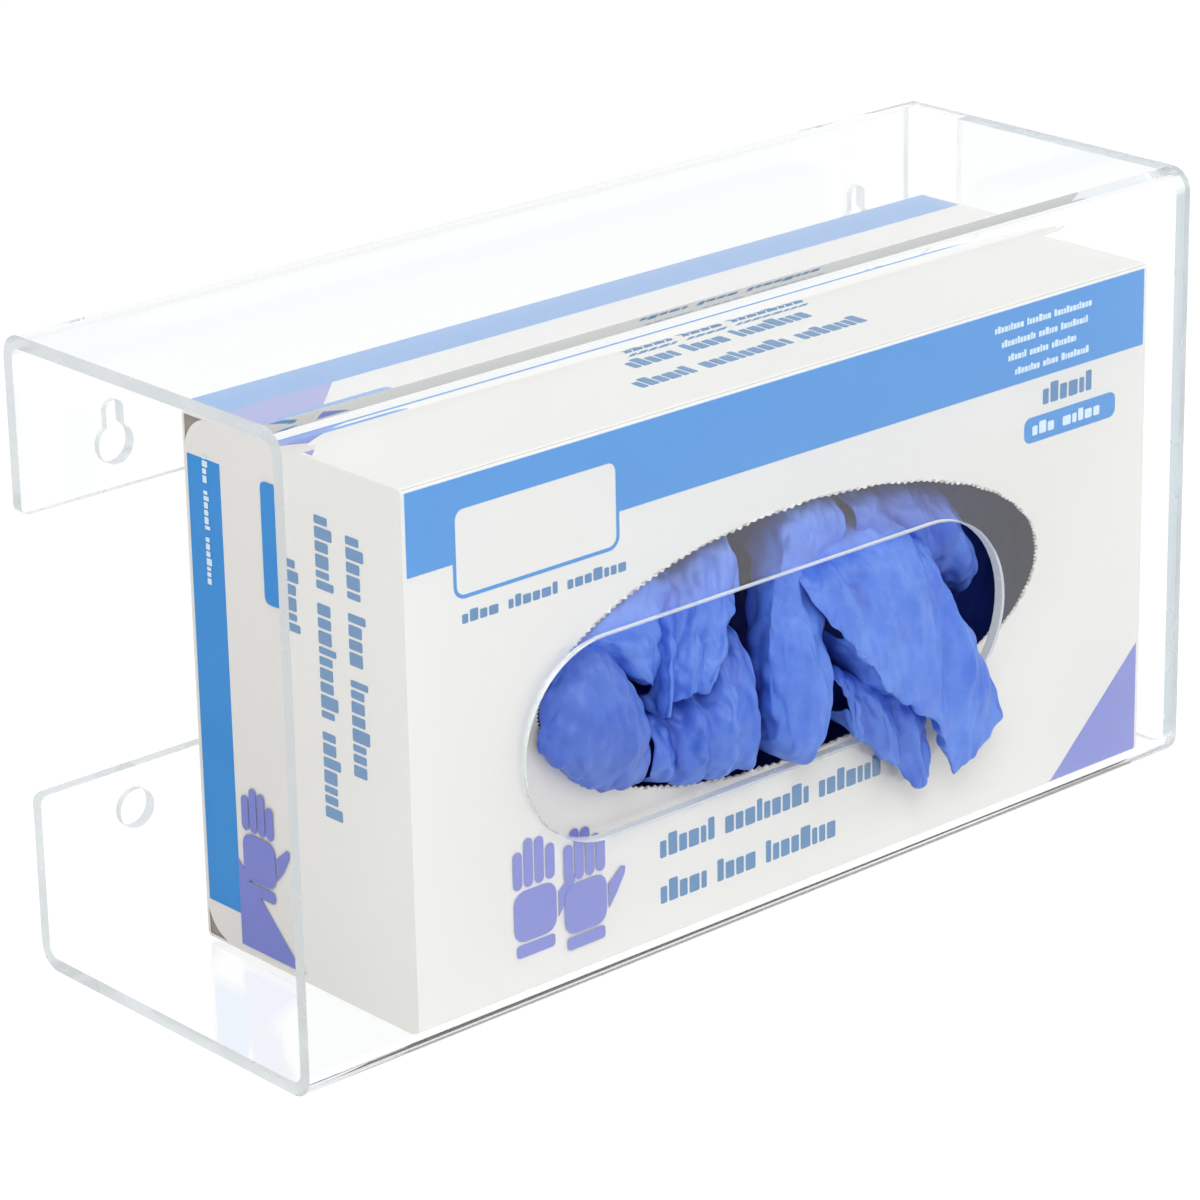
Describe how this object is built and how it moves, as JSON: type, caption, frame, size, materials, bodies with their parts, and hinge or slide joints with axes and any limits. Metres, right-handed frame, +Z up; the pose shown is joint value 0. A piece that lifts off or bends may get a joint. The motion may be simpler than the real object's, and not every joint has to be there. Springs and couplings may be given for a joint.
{
  "type": "glove dispenser",
  "caption": "Wall holder of folded clear acrylic with a printed carton of blue disposable gloves, drawn out by hand through a long front opening.",
  "frame": {"origin": "centre of the four wall holes, on the wall plane at the back faces of the flanges", "axes": "+X along the length towards the closed end, the front faces -Y and the wall is at +Y, +Z up"},
  "size_m": [0.262, 0.0995, 0.1436],
  "materials": {
    "clear_acrylic": "polished clear acrylic sheet",
    "carton_board": "coated white board, uncoated grey inside",
    "blue_ink": "offset ink under gloss varnish",
    "grey_ink": "offset ink under gloss varnish",
    "lilac_ink": "offset ink under gloss varnish",
    "blue_nitrile": "thin smooth dipped nitrile film"
  },
  "bodies": {
    "root": {"holder_sheet": "clear_acrylic", "end_plate": "clear_acrylic", "carton": "carton_board", "blue_print": "blue_ink", "grey_print": "grey_ink", "lilac_print": "lilac_ink", "glove_stack": "blue_nitrile", "glove_left": "blue_nitrile", "glove_middle": "blue_nitrile", "glove_pleated": "blue_nitrile", "glove_peak": "blue_nitrile", "glove_hanging": "blue_nitrile"}
  },
  "joints": []
}
